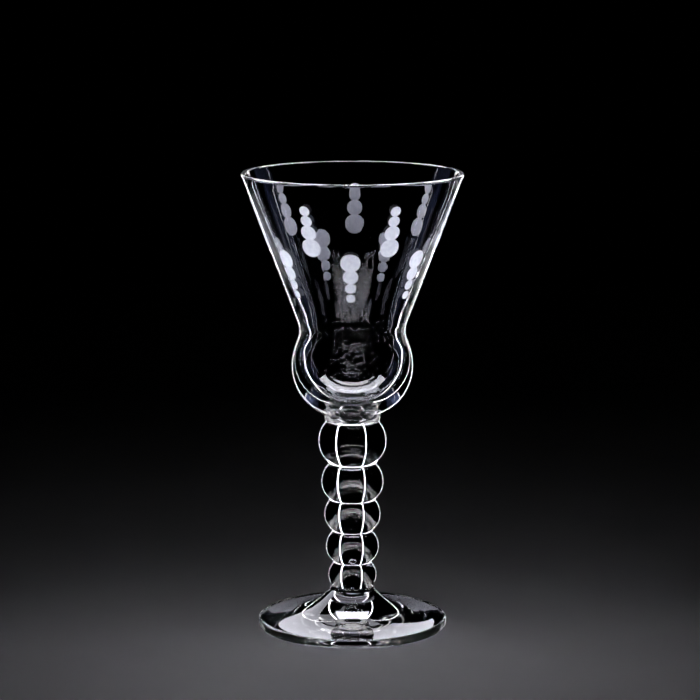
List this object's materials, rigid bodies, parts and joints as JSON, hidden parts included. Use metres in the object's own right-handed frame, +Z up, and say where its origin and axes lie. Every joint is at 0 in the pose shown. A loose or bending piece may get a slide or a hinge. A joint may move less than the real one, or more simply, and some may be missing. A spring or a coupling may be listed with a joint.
{
  "type": "stemmed glass",
  "caption": "Clear stemmed drinking glass with a flared, waisted bowl, a stem of graduated solid glass beads and a round flared foot.",
  "frame": {"origin": "centre of the foot's underside, on the surface that the glass stands on", "axes": "+Z up the glass's axis, from the foot to the rim; the shape is a body of revolution, and -Y is the side the picture shows"},
  "size_m": [0.0768, 0.0768, 0.16],
  "materials": {
    "clear_glass": "clear fire-polished glass, with rows of frosted cut dots round the bowl"
  },
  "bodies": {
    "root": {"bowl": "clear_glass", "bowl_collar": "clear_glass", "stem_bead_1": "clear_glass", "stem_bead_2": "clear_glass", "stem_bead_3": "clear_glass", "stem_bead_4": "clear_glass", "stem_bead_5": "clear_glass", "foot_collar": "clear_glass", "foot": "clear_glass"}
  },
  "joints": []
}
